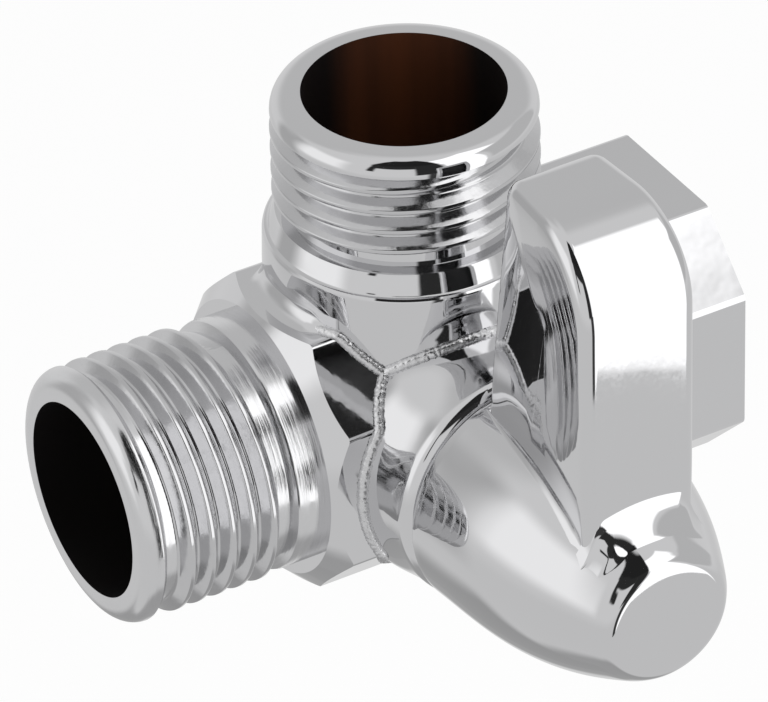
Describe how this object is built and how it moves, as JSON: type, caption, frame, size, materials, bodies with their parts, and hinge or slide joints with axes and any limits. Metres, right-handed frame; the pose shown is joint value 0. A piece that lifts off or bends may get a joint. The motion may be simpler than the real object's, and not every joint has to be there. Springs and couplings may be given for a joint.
{
  "type": "shower diverter valve",
  "caption": "Chrome three-way shower diverter: a female threaded inlet, two male threaded outlets at right angles and a quarter-turn lever that chooses between them.",
  "frame": {"origin": "centre of the inlet's mouth", "axes": "+X along the inlet, out of its mouth; the through outlet points to -X, the branch outlet to +Z and the lever's stem to -Y; rest has the lever up, which sends the water to the branch outlet"},
  "size_m": [0.0535, 0.0505, 0.0447],
  "materials": {
    "chromed_body": "bright chrome plating on forged brass",
    "chromed_handle": "bright chrome plating on a die-cast handle",
    "chromed_ball": "polished chrome plating on brass",
    "brass": "turned, bare",
    "steel": "stainless, plain",
    "seat_plastic": "white fluoropolymer",
    "black_plastic": "black nylon",
    "washer_rubber": "soft black rubber",
    "ring_rubber": "black rubber ring"
  },
  "bodies": {
    "valve": {"valve_body": "chromed_body", "inlet_carrier": "brass", "inlet_washer": "washer_rubber", "thrust_washer": "seat_plastic", "packing_washer": "seat_plastic", "gland_nut": "brass", "glide_washer": "black_plastic", "stop_pin": "steel", "seat_inlet": "seat_plastic", "seat_through": "seat_plastic", "seat_branch": "seat_plastic", "backing_ring_inlet": "ring_rubber", "backing_ring_through": "ring_rubber", "backing_ring_branch": "ring_rubber", "bush_through": "brass", "bush_branch": "brass"},
    "lever": {"handle": "chromed_handle", "handle_screw": "steel", "stem": "brass", "stem_ring_inner": "ring_rubber", "stem_ring_outer": "ring_rubber", "ball": "chromed_ball"}
  },
  "joints": [
    {"name": "handle_turn", "type": "hinge", "parent": "valve", "child": "lever", "pos_m": [-0.0239, 0, 0], "axis": [0, 1, 0], "range_deg": [0, 90]}
  ]
}
